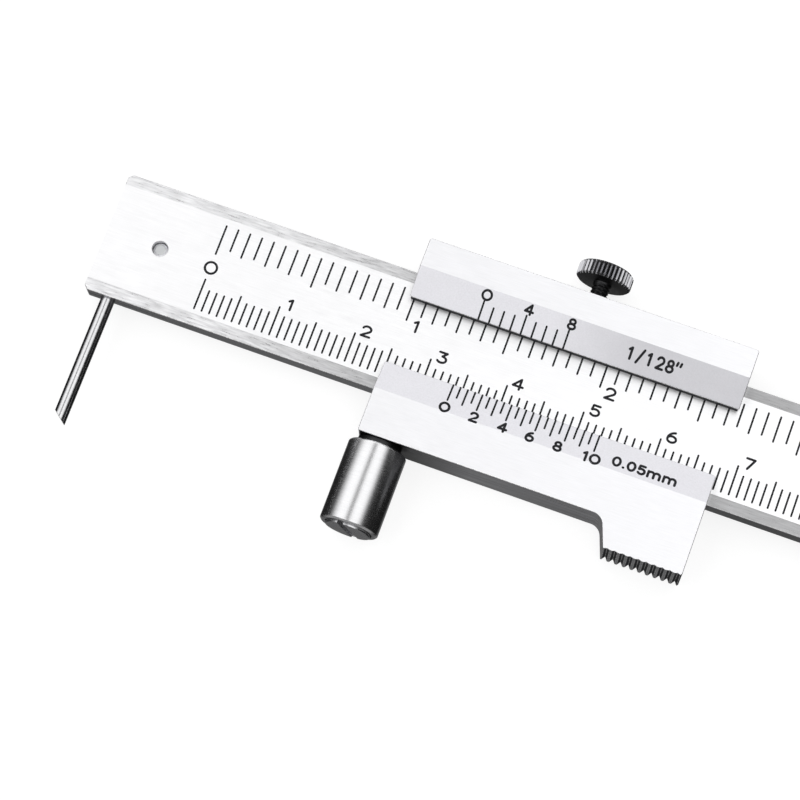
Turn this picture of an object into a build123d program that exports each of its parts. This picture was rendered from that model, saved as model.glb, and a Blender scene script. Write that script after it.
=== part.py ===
"""Vernier marking gauge: a graduated beam with a scriber, and a slider with a guide roller.

The geometry is drawn in gauge coordinates: x runs along the beam from its scriber end,
y runs across the beam from its lower edge, and z stands out of the beam's scale face.
place() then moves every piece so that the origin is the bottom centre of the whole gauge.
"""
import os

from build123d import *

os.makedirs("parts", exist_ok=True)

# Beam
BEAM_LENGTH = 255.0
BEAM_WIDTH = 16.0
BEAM_THICKNESS = 2.8
BEAM_CORNER_CHAMFER = 0.5
BEAM_EDGE_CHAMFER = 0.15
STRIP_WIDTH = 1.5          # ground strip along each long edge of the scale face
STRIP_STEP = 0.1           # how far the ground strips lie below the scale face
ZERO_LINE_X = 14.0         # both zero lines of the beam scales
READING = 33.85            # what the scales read with the slider at rest

# Scriber and its clamp
SCRIBER_DIAMETER = 1.8
SCRIBER_X = 3.2
SCRIBER_LENGTH = 28.0
SCRIBER_REACH = 17.05      # point of the scriber below the beam's lower edge
SCRIBER_GRIND = 1.45       # length of the slanted grind at the point
SCRIBER_BUTT_CHAMFER = 0.2
BORE_DEPTH = 14.0
BORE_CLEARANCE = 0.02
SLIT_LENGTH = 11.0
SLIT_WIDTH = 0.2
CLAMP_SCREW_X = 7.2
CLAMP_SCREW_Y = 8.0
CLAMP_THREAD_DIAMETER = 1.9
CLAMP_HEAD_DIAMETER = 3.4
CLAMP_SUNK_TIP = 0.45      # the screw's tip stays this far under the scale face
CLAMP_TIP_CHAMFER = 0.3

# Stop screw near the far end of the beam
STOP_SCREW_X = 251.0
STOP_HEAD_DIAMETER = 4.5
STOP_HEAD_HEIGHT = 1.1
STOP_THREAD_DIAMETER = 2.4
STOP_SLOT_WIDTH = 0.7
STOP_SLOT_DEPTH = 0.5

# Slider
SLIDER_LENGTH = 43.0
SLIDER_LOW_Y = -6.1
SLIDER_HIGH_Y = 20.1
SLIDER_FRONT_Z = 2.4
SLIDER_BACK_Z = -4.1
VERNIER_ZERO_FROM_END = 9.0
RUNNING_GAP = 0.05         # between the slider and the beam
LIP_EDGE_FROM_BEAM_EDGE = 3.55
LIP_EDGE_THICKNESS = 1.05
BEVEL_START_FROM_BEAM_EDGE = -0.35
BEVEL_CORNER_RADIUS = 0.25
GRIP_LOW_Y = -9.9
GRIP_WIDTH = 10.05
GRIP_LEAN = 1.4            # how far the grip's left side leans in over its height
GRIP_FILLET = 1.6
TOOTH_PITCH = 1.0
TOOTH_DEPTH_FRONT = 0.12    # the grooves deepen towards the slider's back
TOOTH_DEPTH_BACK = 0.5
TOOTH_HALF_WIDTH = 0.36
TOOTH_COUNT = 10
SLIDER_CORNER_CHAMFER = 0.2

# Rear cover of the slider
COVER_FROM_END = 4.65
COVER_LENGTH = 36.0
COVER_LOW_Y = -2.4
COVER_HIGH_Y = 18.8
COVER_THICKNESS = 0.8
COVER_GAP = 0.05
COVER_CORNER_CHAMFER = 0.6
COVER_OPENING_MARGIN = 3.6
COVER_SCREW_INSET = 2.0
COVER_SCREW_INSET_Y = 1.1
COVER_SCREW_LENGTH = 3.4
COVER_SCREW_DIAMETER = 1.5
COVER_HEAD_DIAMETER = 2.6
SCREW_SLOT_WIDTH_RATIO = 0.16   # of the head's diameter
SCREW_SLOT_DEPTH_RATIO = 0.12

# Gib strip and its two adjusting screws
GIB_LENGTH = 42.0
GIB_THICKNESS = 0.45
GIB_WIDTH = 2.6
GIB_SLOT = 0.6
GIB_SCREW_DIAMETER = 2.0
GIB_SCREW_OFFSETS = (11.0, 33.0)
GIB_SCREW_SUNK = 0.3
GIB_SCREW_SLOT_WIDTH = 0.4
GIB_SCREW_SLOT_DEPTH = 0.7

# Lock screw
LOCK_SCREW_OFFSET = 21.85
LOCK_THREAD_DIAMETER = 2.3
LOCK_HEAD_DIAMETER = 7.1
LOCK_HEAD_LOW_Y = 22.8
LOCK_HEAD_HEIGHT = 2.0
LOCK_HEAD_CHAMFER = 0.3

# Guide roller on its shoulder screw
ROLLER_DIAMETER = 7.5
ROLLER_LENGTH = 10.7
ROLLER_CHAMFER = 0.25
ROLLER_BORE = 4.06
AXLE_DIAMETER = 4.0
AXLE_THREAD_DIAMETER = 2.9
AXLE_THREAD_LENGTH = 4.6
AXLE_HEAD_DIAMETER = 5.8
AXLE_HEAD_THICKNESS = 1.4
AXLE_HEAD_PROUD = 0.3
AXLE_SLOT_WIDTH = 0.8
AXLE_SLOT_DEPTH = 0.6
AXLE_SLOT_TURN = 72.0       # degrees between the slot and the beam's length
COUNTERBORE_DIAMETER = 6.1
SPACER_DIAMETER = 5.6
SPACER_THICKNESS = 0.6
ROLLER_END_PLAY = 0.1

THREAD_CLEARANCE = 0.05    # radial, between every screw and its hole
HEAD_CLEARANCE = 0.06      # around countersunk heads
HOLE_BOTTOM_ROOM = 0.3     # blind holes go this far past the screw's tip
CUT_OVERRUN = 1.0          # cutting solids run this far past the faces they cut

# Places worked out from the driving dimensions
SLIDER_LEFT = ZERO_LINE_X + READING - VERNIER_ZERO_FROM_END
SLIDER_RIGHT = SLIDER_LEFT + SLIDER_LENGTH
SLIDER_MID_Z = (SLIDER_FRONT_Z + SLIDER_BACK_Z) / 2
BEAM_MID_Z = -BEAM_THICKNESS / 2
ROLLER_X = SCRIBER_X + SCRIBER_DIAMETER / 2 + READING + ROLLER_DIAMETER / 2
ROLLER_TOP_Y = SLIDER_LOW_Y - SPACER_THICKNESS - ROLLER_END_PLAY
ROLLER_LOW_Y = ROLLER_TOP_Y - ROLLER_LENGTH
LOCK_X = SLIDER_LEFT + LOCK_SCREW_OFFSET
LOCK_HEAD_TOP_Y = LOCK_HEAD_LOW_Y + LOCK_HEAD_HEIGHT
GIB_LOW_Y = BEAM_WIDTH + RUNNING_GAP
GIB_HIGH_Y = GIB_LOW_Y + GIB_THICKNESS
CHANNEL_HIGH_Y = BEAM_WIDTH + GIB_SLOT
LOWEST_Z = BEAM_MID_Z - LOCK_HEAD_DIAMETER / 2
LOWEST_Y = ROLLER_LOW_Y - AXLE_HEAD_PROUD

ROW_ORIGIN = Vector(BEAM_LENGTH / 2, (LOWEST_Y + LOCK_HEAD_TOP_Y) / 2, LOWEST_Z)


def place(shape):
    """Move a shape from gauge coordinates to the frame with its origin at the bottom centre."""
    return Location(-ROW_ORIGIN) * shape


def block(x_range, y_range, z_range):
    """A box given by its low and high limits on each axis."""
    size = [high - low for low, high in (x_range, y_range, z_range)]
    centre = [(high + low) / 2 for low, high in (x_range, y_range, z_range)]
    return Pos(*centre) * Box(*size)


def rod_along_y(x, z, low_y, high_y, diameter):
    """A cylinder whose axis runs across the beam."""
    centre = Pos(x, (low_y + high_y) / 2, z) * Rot(90, 0, 0)
    return centre * Cylinder(diameter / 2, high_y - low_y)


def rod_along_z(x, y, low_z, high_z, diameter):
    """A cylinder whose axis stands out of the scale face."""
    return Pos(x, y, (low_z + high_z) / 2) * Cylinder(diameter / 2, high_z - low_z)


def countersink(x, y, low_z, head_diameter, hole_diameter):
    """A 90 degree cone that is widest at low_z, where the head's flat side is."""
    depth = (head_diameter - hole_diameter) / 2
    cone = Cone(head_diameter / 2, hole_diameter / 2, depth)
    return Pos(x, y, low_z + depth / 2) * cone


def countersunk_screw(x, y, head_z, length, head_diameter, thread_diameter):
    """A slotted countersunk screw whose head is flush at head_z and whose tip points to +z."""
    shank = rod_along_z(x, y, head_z, head_z + length, thread_diameter)
    head = countersink(x, y, head_z, head_diameter, thread_diameter)
    slot_width = head_diameter * SCREW_SLOT_WIDTH_RATIO
    slot_depth = head_diameter * SCREW_SLOT_DEPTH_RATIO
    slot = block(
        (x - head_diameter, x + head_diameter),
        (y - slot_width / 2, y + slot_width / 2),
        (head_z - slot_depth, head_z + slot_depth),
    )
    return shank + head - slot


def countersunk_hole(x, y, head_z, high_z, head_diameter, thread_diameter):
    """The hole that such a screw goes into, with clearance around it."""
    shank = rod_along_z(x, y, head_z - CUT_OVERRUN, high_z, thread_diameter + 2 * THREAD_CLEARANCE)
    mouth = head_diameter + 2 * HEAD_CLEARANCE
    return shank + countersink(x, y, head_z, mouth, thread_diameter)


def make_beam():
    """The graduated beam, slit at its scriber end so that one screw can pinch the scriber."""
    outline = Pos(BEAM_LENGTH / 2, BEAM_WIDTH / 2) * Rectangle(BEAM_LENGTH, BEAM_WIDTH)
    outline = chamfer(outline.vertices(), BEAM_CORNER_CHAMFER)
    beam = Pos(0, 0, -BEAM_THICKNESS) * extrude(outline, BEAM_THICKNESS)
    past_ends = (-CUT_OVERRUN, BEAM_LENGTH + CUT_OVERRUN)
    for low_y in (0, BEAM_WIDTH - STRIP_WIDTH):
        beam -= block(past_ends, (low_y, low_y + STRIP_WIDTH), (-STRIP_STEP, CUT_OVERRUN))
    back_edges = beam.edges().filter_by(Axis.X).group_by(Axis.Z)[0]
    beam = chamfer(back_edges, BEAM_EDGE_CHAMFER)
    bore_diameter = SCRIBER_DIAMETER + 2 * BORE_CLEARANCE
    beam -= rod_along_y(SCRIBER_X, BEAM_MID_Z, -CUT_OVERRUN, BORE_DEPTH, bore_diameter)
    beam -= block(
        (-CUT_OVERRUN, SLIT_LENGTH),
        (-CUT_OVERRUN, BEAM_WIDTH + CUT_OVERRUN),
        (BEAM_MID_Z - SLIT_WIDTH / 2, BEAM_MID_Z + SLIT_WIDTH / 2),
    )
    beam -= countersunk_hole(
        CLAMP_SCREW_X,
        CLAMP_SCREW_Y,
        -BEAM_THICKNESS,
        CUT_OVERRUN,
        CLAMP_HEAD_DIAMETER,
        CLAMP_THREAD_DIAMETER,
    )
    stop_hole_diameter = STOP_THREAD_DIAMETER + 2 * THREAD_CLEARANCE
    below = -BEAM_THICKNESS - CUT_OVERRUN
    beam -= rod_along_z(STOP_SCREW_X, BEAM_WIDTH / 2, below, CUT_OVERRUN, stop_hole_diameter)
    return beam


def make_scriber():
    """A carbide needle with a one-sided grind, so its point lies on the roller's side."""
    low_y = -SCRIBER_REACH
    needle = rod_along_y(SCRIBER_X, BEAM_MID_Z, low_y, low_y + SCRIBER_LENGTH, SCRIBER_DIAMETER)
    butt = needle.edges().group_by(Axis.Y)[-1]
    needle = chamfer(butt, SCRIBER_BUTT_CHAMFER)
    radius = SCRIBER_DIAMETER / 2
    with BuildSketch(Plane.XY) as waste:
        with BuildLine():
            Polyline(
                (SCRIBER_X + radius, low_y),
                (SCRIBER_X - radius, low_y + SCRIBER_GRIND),
                (SCRIBER_X - radius - CUT_OVERRUN, low_y + SCRIBER_GRIND),
                (SCRIBER_X - radius - CUT_OVERRUN, low_y - CUT_OVERRUN),
                (SCRIBER_X + radius, low_y - CUT_OVERRUN),
                close=True,
            )
        make_face()
    return needle - Pos(0, 0, BEAM_MID_Z) * extrude(waste.sketch, SCRIBER_DIAMETER, both=True)


def make_scriber_clamp_screw():
    """The countersunk screw that closes the slit end of the beam on the scriber."""
    screw = countersunk_screw(
        CLAMP_SCREW_X,
        CLAMP_SCREW_Y,
        -BEAM_THICKNESS,
        BEAM_THICKNESS - CLAMP_SUNK_TIP,
        CLAMP_HEAD_DIAMETER,
        CLAMP_THREAD_DIAMETER,
    )
    tip = screw.edges().group_by(Axis.Z)[-1]
    return chamfer(tip, CLAMP_TIP_CHAMFER)


def make_beam_stop_screw():
    """The cheese-head screw that keeps the slider from running off the beam."""
    middle_y = BEAM_WIDTH / 2
    head_top = -BEAM_THICKNESS - STOP_HEAD_HEIGHT
    head = rod_along_z(STOP_SCREW_X, middle_y, head_top, -BEAM_THICKNESS, STOP_HEAD_DIAMETER)
    shank = rod_along_z(STOP_SCREW_X, middle_y, -BEAM_THICKNESS, -STRIP_STEP, STOP_THREAD_DIAMETER)
    slot = block(
        (STOP_SCREW_X - STOP_HEAD_DIAMETER, STOP_SCREW_X + STOP_HEAD_DIAMETER),
        (middle_y - STOP_SLOT_WIDTH / 2, middle_y + STOP_SLOT_WIDTH / 2),
        (head_top - CUT_OVERRUN, head_top + STOP_SLOT_DEPTH),
    )
    return head + shank - slot


def slider_outline():
    """Plan of the slider, with the thumb grip at its lower right."""
    grip_left_low = SLIDER_RIGHT - GRIP_WIDTH
    with BuildSketch() as outline:
        with BuildLine():
            Polyline(
                (SLIDER_LEFT, SLIDER_LOW_Y),
                (grip_left_low - GRIP_LEAN, SLIDER_LOW_Y),
                (grip_left_low, GRIP_LOW_Y),
                (SLIDER_RIGHT, GRIP_LOW_Y),
                (SLIDER_RIGHT, SLIDER_HIGH_Y),
                (SLIDER_LEFT, SLIDER_HIGH_Y),
                close=True,
            )
        make_face()
        inner_corner = outline.vertices().sort_by(
            lambda v: abs(v.X - grip_left_low + GRIP_LEAN) + abs(v.Y - SLIDER_LOW_Y)
        )[0]
        fillet(inner_corner, GRIP_FILLET)
        outer_corners = [
            v
            for v in outline.vertices()
            if min(v.X - SLIDER_LEFT, SLIDER_RIGHT - v.X) < SLIDER_CORNER_CHAMFER
        ]
        chamfer(outer_corners, SLIDER_CORNER_CHAMFER)
    return outline.sketch


def slider_window():
    """The window between the two bevelled lips, as a solid running the slider's whole length."""
    low_edge = LIP_EDGE_FROM_BEAM_EDGE
    high_edge = BEAM_WIDTH - LIP_EDGE_FROM_BEAM_EDGE
    low_bevel = BEVEL_START_FROM_BEAM_EDGE
    high_bevel = BEAM_WIDTH - BEVEL_START_FROM_BEAM_EDGE
    edge_top = RUNNING_GAP + LIP_EDGE_THICKNESS
    below = -CUT_OVERRUN
    above = SLIDER_FRONT_Z + CUT_OVERRUN
    start_x = SLIDER_LEFT - CUT_OVERRUN
    section_plane = Plane(origin=(start_x, 0, 0), x_dir=(0, 1, 0), z_dir=(1, 0, 0))
    with BuildSketch(section_plane) as section:
        with BuildLine():
            Polyline(
                (low_edge, below),
                (low_edge, edge_top),
                (low_bevel, SLIDER_FRONT_Z),
                (low_bevel, above),
                (high_bevel, above),
                (high_bevel, SLIDER_FRONT_Z),
                (high_edge, edge_top),
                (high_edge, below),
                close=True,
            )
        make_face()
    return extrude(section.sketch, SLIDER_LENGTH + 2 * CUT_OVERRUN)


def lip_corner_cutters():
    """Solids that round the four window corners of the two lips in plan."""
    cutters = []
    radius = BEVEL_CORNER_RADIUS
    for end_x, inward_x in ((SLIDER_LEFT, 1), (SLIDER_RIGHT, -1)):
        for edge_y, inward_y in (
            (LIP_EDGE_FROM_BEAM_EDGE, -1),
            (BEAM_WIDTH - LIP_EDGE_FROM_BEAM_EDGE, 1),
        ):
            centre_x = end_x + inward_x * radius
            centre_y = edge_y + inward_y * radius
            corner = block(
                sorted((end_x - inward_x, centre_x)),
                sorted((edge_y - inward_y, centre_y)),
                (0, SLIDER_FRONT_Z),
            )
            post = rod_along_z(
                centre_x, centre_y, -CUT_OVERRUN, SLIDER_FRONT_Z + CUT_OVERRUN, 2 * radius
            )
            cutters.append(corner - post)
    return cutters


def cover_screw_places():
    """The four places of the rear cover's screws."""
    left = SLIDER_LEFT + COVER_FROM_END + COVER_SCREW_INSET
    right = SLIDER_LEFT + COVER_FROM_END + COVER_LENGTH - COVER_SCREW_INSET
    low = COVER_LOW_Y + COVER_SCREW_INSET_Y
    high = COVER_HIGH_Y - COVER_SCREW_INSET_Y
    return [(x, y) for x in (left, right) for y in (low, high)]


def cover_ranges(gap):
    """Limits of the rear cover in x and y, widened by a gap."""
    left = SLIDER_LEFT + COVER_FROM_END
    x_range = (left - gap, left + COVER_LENGTH + gap)
    return x_range, (COVER_LOW_Y - gap, COVER_HIGH_Y + gap)


def make_slider_body():
    """The slider: two rails joined by a back wall, with a bevelled lip over each beam edge."""
    body = Pos(0, 0, SLIDER_BACK_Z) * extrude(slider_outline(), SLIDER_FRONT_Z - SLIDER_BACK_Z)
    body -= block(
        (SLIDER_LEFT - CUT_OVERRUN, SLIDER_RIGHT + CUT_OVERRUN),
        (-RUNNING_GAP, CHANNEL_HIGH_Y),
        (-BEAM_THICKNESS - RUNNING_GAP, RUNNING_GAP),
    )
    body -= slider_window()
    for cutter in lip_corner_cutters():
        body -= cutter

    cover_x, cover_y = cover_ranges(COVER_GAP)
    behind = SLIDER_BACK_Z - CUT_OVERRUN
    body -= block(cover_x, cover_y, (behind, SLIDER_BACK_Z + COVER_THICKNESS))
    margin = COVER_OPENING_MARGIN
    body -= block(
        (cover_x[0] + margin, cover_x[1] - margin),
        (cover_y[0] + margin, cover_y[1] - margin),
        (behind, -BEAM_THICKNESS),
    )
    hole_diameter = COVER_SCREW_DIAMETER + 2 * THREAD_CLEARANCE
    hole_bottom = SLIDER_BACK_Z + COVER_SCREW_LENGTH + HOLE_BOTTOM_ROOM
    for x, y in cover_screw_places():
        body -= rod_along_z(x, y, SLIDER_BACK_Z, hole_bottom, hole_diameter)

    lock_hole_diameter = LOCK_THREAD_DIAMETER + 2 * THREAD_CLEARANCE
    above = SLIDER_HIGH_Y + CUT_OVERRUN
    body -= rod_along_y(LOCK_X, BEAM_MID_Z, BEAM_WIDTH, above, lock_hole_diameter)
    gib_hole_diameter = GIB_SCREW_DIAMETER + 2 * THREAD_CLEARANCE
    for offset in GIB_SCREW_OFFSETS:
        x = SLIDER_LEFT + offset
        body -= rod_along_y(x, BEAM_MID_Z, BEAM_WIDTH, above, gib_hole_diameter)

    axle_hole_diameter = AXLE_THREAD_DIAMETER + 2 * THREAD_CLEARANCE
    axle_hole_top = SLIDER_LOW_Y + AXLE_THREAD_LENGTH + HOLE_BOTTOM_ROOM
    axle_hole_low = SLIDER_LOW_Y - CUT_OVERRUN
    body -= rod_along_y(ROLLER_X, SLIDER_MID_Z, axle_hole_low, axle_hole_top, axle_hole_diameter)

    for tooth in range(TOOTH_COUNT):
        x = SLIDER_RIGHT - GRIP_WIDTH + (tooth + 0.5) * TOOTH_PITCH
        body -= serration_groove(x)
    return body


def groove_section(x, z, depth):
    """Triangular section of one serration groove at a height."""
    half_width = TOOTH_PITCH * TOOTH_HALF_WIDTH
    below = GRIP_LOW_Y - CUT_OVERRUN
    with BuildSketch(Plane.XY.offset(z)) as section:
        with BuildLine():
            Polyline(
                (x - half_width, GRIP_LOW_Y),
                (x, GRIP_LOW_Y + depth),
                (x + half_width, GRIP_LOW_Y),
                (x + half_width, below),
                (x - half_width, below),
                close=True,
            )
        make_face()
    return section.sketch


def serration_groove(x):
    """One groove of the thumb grip's serration, deepening from the slider's front to its back."""
    back = groove_section(x, SLIDER_BACK_Z, TOOTH_DEPTH_BACK)
    front = groove_section(x, SLIDER_FRONT_Z, TOOTH_DEPTH_FRONT)
    return loft([back, front], ruled=True)


def make_rear_cover():
    """The thin plate let into the slider's back, over the opening that the beam slides past."""
    cover_x, cover_y = cover_ranges(0)
    cover = block(cover_x, cover_y, (SLIDER_BACK_Z, SLIDER_BACK_Z + COVER_THICKNESS))
    cover = chamfer(cover.edges().filter_by(Axis.Z), COVER_CORNER_CHAMFER)
    for x, y in cover_screw_places():
        cover -= countersunk_hole(x, y, SLIDER_BACK_Z, 0, COVER_HEAD_DIAMETER, COVER_SCREW_DIAMETER)
    return cover


def make_rear_cover_screws():
    """The four countersunk screws of the rear cover."""
    return [
        countersunk_screw(
            x, y, SLIDER_BACK_Z, COVER_SCREW_LENGTH, COVER_HEAD_DIAMETER, COVER_SCREW_DIAMETER
        )
        for x, y in cover_screw_places()
    ]


def make_gib_strip():
    """The thin brass strip between the beam's upper edge and the screws in the upper rail."""
    left = SLIDER_LEFT + (SLIDER_LENGTH - GIB_LENGTH) / 2
    z_range = (BEAM_MID_Z - GIB_WIDTH / 2, BEAM_MID_Z + GIB_WIDTH / 2)
    return block((left, left + GIB_LENGTH), (GIB_LOW_Y, GIB_HIGH_Y), z_range)


def make_gib_screws():
    """The two slotted grub screws that set how closely the gib strip bears on the beam."""
    screws = []
    for offset in GIB_SCREW_OFFSETS:
        x = SLIDER_LEFT + offset
        high_y = SLIDER_HIGH_Y - GIB_SCREW_SUNK
        screw = rod_along_y(x, BEAM_MID_Z, GIB_HIGH_Y, high_y, GIB_SCREW_DIAMETER)
        screw -= block(
            (x - GIB_SCREW_DIAMETER, x + GIB_SCREW_DIAMETER),
            (high_y - GIB_SCREW_SLOT_DEPTH, high_y + CUT_OVERRUN),
            (BEAM_MID_Z - GIB_SCREW_SLOT_WIDTH / 2, BEAM_MID_Z + GIB_SCREW_SLOT_WIDTH / 2),
        )
        screws.append(screw)
    return screws


def make_lock_screw():
    """The knurled thumb screw that presses the gib strip on the beam."""
    tip_y = GIB_HIGH_Y + RUNNING_GAP
    shank = rod_along_y(LOCK_X, BEAM_MID_Z, tip_y, LOCK_HEAD_LOW_Y, LOCK_THREAD_DIAMETER)
    head = rod_along_y(LOCK_X, BEAM_MID_Z, LOCK_HEAD_LOW_Y, LOCK_HEAD_TOP_Y, LOCK_HEAD_DIAMETER)
    head = chamfer(head.edges().filter_by(GeomType.CIRCLE), LOCK_HEAD_CHAMFER)
    return shank + head


def make_guide_roller():
    """The hardened roller that runs along the edge of the work."""
    roller = rod_along_y(ROLLER_X, SLIDER_MID_Z, ROLLER_LOW_Y, ROLLER_TOP_Y, ROLLER_DIAMETER)
    roller = chamfer(roller.edges().filter_by(GeomType.CIRCLE), ROLLER_CHAMFER)
    below, above = ROLLER_LOW_Y - CUT_OVERRUN, ROLLER_TOP_Y + CUT_OVERRUN
    roller -= rod_along_y(ROLLER_X, SLIDER_MID_Z, below, above, ROLLER_BORE)
    counterbore_top = ROLLER_LOW_Y - AXLE_HEAD_PROUD + AXLE_HEAD_THICKNESS + ROLLER_END_PLAY
    roller -= rod_along_y(ROLLER_X, SLIDER_MID_Z, below, counterbore_top, COUNTERBORE_DIAMETER)
    return roller


def make_roller_axle_screw():
    """The shoulder screw that the roller turns on, with its slotted head at the free end."""
    head_low = ROLLER_LOW_Y - AXLE_HEAD_PROUD
    head_high = head_low + AXLE_HEAD_THICKNESS
    thread_top = SLIDER_LOW_Y + AXLE_THREAD_LENGTH
    head = rod_along_y(ROLLER_X, SLIDER_MID_Z, head_low, head_high, AXLE_HEAD_DIAMETER)
    shoulder = rod_along_y(ROLLER_X, SLIDER_MID_Z, head_high, SLIDER_LOW_Y, AXLE_DIAMETER)
    thread = rod_along_y(ROLLER_X, SLIDER_MID_Z, SLIDER_LOW_Y, thread_top, AXLE_THREAD_DIAMETER)
    slot = Box(2 * AXLE_HEAD_DIAMETER, 2 * AXLE_SLOT_DEPTH, AXLE_SLOT_WIDTH)
    slot = Pos(ROLLER_X, head_low, SLIDER_MID_Z) * Rot(0, AXLE_SLOT_TURN, 0) * slot
    return head + shoulder + thread - slot


def make_roller_spacer():
    """The ring that keeps the roller clear of the slider's lower face."""
    low_y = SLIDER_LOW_Y - SPACER_THICKNESS
    ring = rod_along_y(ROLLER_X, SLIDER_MID_Z, low_y, SLIDER_LOW_Y, SPACER_DIAMETER)
    below, above = low_y - CUT_OVERRUN, SLIDER_LOW_Y + CUT_OVERRUN
    return ring - rod_along_y(ROLLER_X, SLIDER_MID_Z, below, above, ROLLER_BORE)


PIECES = {
    "beam": make_beam,
    "scriber": make_scriber,
    "scriber_clamp_screw": make_scriber_clamp_screw,
    "beam_stop_screw": make_beam_stop_screw,
    "slider_body": make_slider_body,
    "rear_cover": make_rear_cover,
    "rear_cover_screws": make_rear_cover_screws,
    "gib_strip": make_gib_strip,
    "gib_screws": make_gib_screws,
    "lock_screw": make_lock_screw,
    "guide_roller": make_guide_roller,
    "roller_axle_screw": make_roller_axle_screw,
    "roller_spacer": make_roller_spacer,
}

for name, make in PIECES.items():
    shape = make()
    if isinstance(shape, list):
        shape = Compound(children=shape)
    export_step(place(shape), f"parts/{name}.step")
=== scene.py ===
import math

import bmesh
import bpy
from bpy.props import FloatProperty, FloatVectorProperty, IntProperty, PointerProperty
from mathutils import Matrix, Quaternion, Vector


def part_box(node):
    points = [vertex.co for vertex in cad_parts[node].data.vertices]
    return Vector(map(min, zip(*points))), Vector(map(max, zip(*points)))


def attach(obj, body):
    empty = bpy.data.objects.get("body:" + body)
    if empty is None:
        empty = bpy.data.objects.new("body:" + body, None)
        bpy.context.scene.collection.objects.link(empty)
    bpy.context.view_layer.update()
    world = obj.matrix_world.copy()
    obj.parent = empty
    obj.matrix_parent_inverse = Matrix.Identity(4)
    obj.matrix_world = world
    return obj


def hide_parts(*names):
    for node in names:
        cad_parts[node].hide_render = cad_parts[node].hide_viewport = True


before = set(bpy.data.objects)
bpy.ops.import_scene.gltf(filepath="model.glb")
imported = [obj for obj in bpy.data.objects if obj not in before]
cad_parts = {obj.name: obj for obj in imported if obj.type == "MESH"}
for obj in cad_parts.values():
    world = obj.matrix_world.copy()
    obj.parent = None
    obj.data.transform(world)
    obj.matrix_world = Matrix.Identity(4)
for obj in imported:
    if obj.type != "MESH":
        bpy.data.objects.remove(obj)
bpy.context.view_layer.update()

bl_info = {
    "name": "Vernier Marking Gauge",
    "version": (1, 0, 0),
    "blender": (4, 5, 0),
    "location": "View3D > Sidebar > Marking Gauge",
    "description": "Builds the finished pieces of a vernier marking gauge around its fixed frame",
    "category": "Add Mesh",
}

MM = 0.001
BEAM_LOW, BEAM_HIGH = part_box("beam")
SLIDER_LOW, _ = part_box("slider_body")
LOCK_LOW, LOCK_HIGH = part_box("lock_screw")
ROLLER_LOW, ROLLER_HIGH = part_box("guide_roller")
SCRIBER_LOW, SCRIBER_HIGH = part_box("scriber")

# Lengths are in the gauge's own millimetres, apart from the users' sizes, which are in metres:
# x runs along the beam from its scriber end, y up from its lower edge, and z out of its scale face.
GAUGE_CORNER = Vector((BEAM_LOW.x, BEAM_LOW.y, BEAM_HIGH.z))
BEAM_WIDTH = (BEAM_HIGH.y - BEAM_LOW.y) / MM
SLIDER_LEFT = (SLIDER_LOW.x - BEAM_LOW.x) / MM
GRIP_FACE_Y = (SLIDER_LOW.y - BEAM_LOW.y) / MM

INCH = 25.4
ZERO_LINE_X = 14.0
VERNIER_ZERO_X = SLIDER_LEFT + 9.0
STRIP_STEP = 0.1        # how far the ground strips lie below the scale face
LIP_EDGE_Y = 3.55       # how far a lip of the slider reaches over the beam
LIP_EDGE_Z = 1.1        # height of a bevel at the lip's edge
LIP_RISE = 1.3          # height that a bevel gains
LIP_RUN = 3.9           # width of a bevel
PAINT_PROUD = 0.008     # how far the line paint stands above the metal
PAINT_LAYER = 0.001     # lift of each further stroke of a numeral, so that no two faces lie in one plane
PAINT_DEPTH = 0.03      # how deep the strokes are sunk
LIP_STRANDS = 4         # parts that a stroke on a lip is divided into across its width
STROKE_STEP = 0.1       # length of the parts that a straight stroke is divided into

MERGE_DISTANCE = 1e-7   # in metres
FLAT_ANGLE = math.radians(0.4)
EDGE_ANGLE = math.radians(24)
SMOOTH_ANGLE = math.radians(28)


def at(x, y, z):
    """A point given in the gauge's millimetres, in the frame's metres."""
    return GAUGE_CORNER + Vector((x, y, z)) * MM


def gauge_place(point):
    """A point given in the frame's metres, in the gauge's millimetres."""
    return (point - GAUGE_CORNER) / MM


# ---------------------------------------------------------------- sizes and colours a maker would change

class GaugeSizes(bpy.types.PropertyGroup):
    edge_break: FloatProperty(
        name="Edge break", description="Width of the broken edges of the machined pieces",
        default=0.06 * MM, min=0.0, unit="LENGTH", precision=5)
    line_width: FloatProperty(
        name="Line width", description="Width of the engraved scale lines",
        default=0.24 * MM, min=0.0, unit="LENGTH", precision=5)
    numeral_height: FloatProperty(
        name="Beam numeral height", description="Height of the numerals on the beam",
        default=1.3 * MM, min=0.0, unit="LENGTH", precision=5)
    vernier_numeral_height: FloatProperty(
        name="Vernier numeral height", description="Height of the numerals on the slider",
        default=1.15 * MM, min=0.0, unit="LENGTH", precision=5)
    numeral_stroke: FloatProperty(
        name="Numeral stroke", description="Width of the strokes of the numerals",
        default=0.3 * MM, min=0.0, unit="LENGTH", precision=5)
    scale_mm: IntProperty(
        name="Millimetre lines", description="Last line of the millimetre scale",
        default=220, min=10, max=235)
    scale_sixteenths: IntProperty(
        name="Sixteenth lines", description="Last line of the inch scale, in sixteenths",
        default=136, min=16, max=148)
    knurl_ridges: IntProperty(
        name="Knurl ridges", description="Straight ridges round the lock screw's head",
        default=38, min=12, max=80)
    knurl_depth: FloatProperty(
        name="Knurl depth", description="Depth of the knurl's valleys",
        default=0.36 * MM, min=0.0, unit="LENGTH", precision=5)


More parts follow.
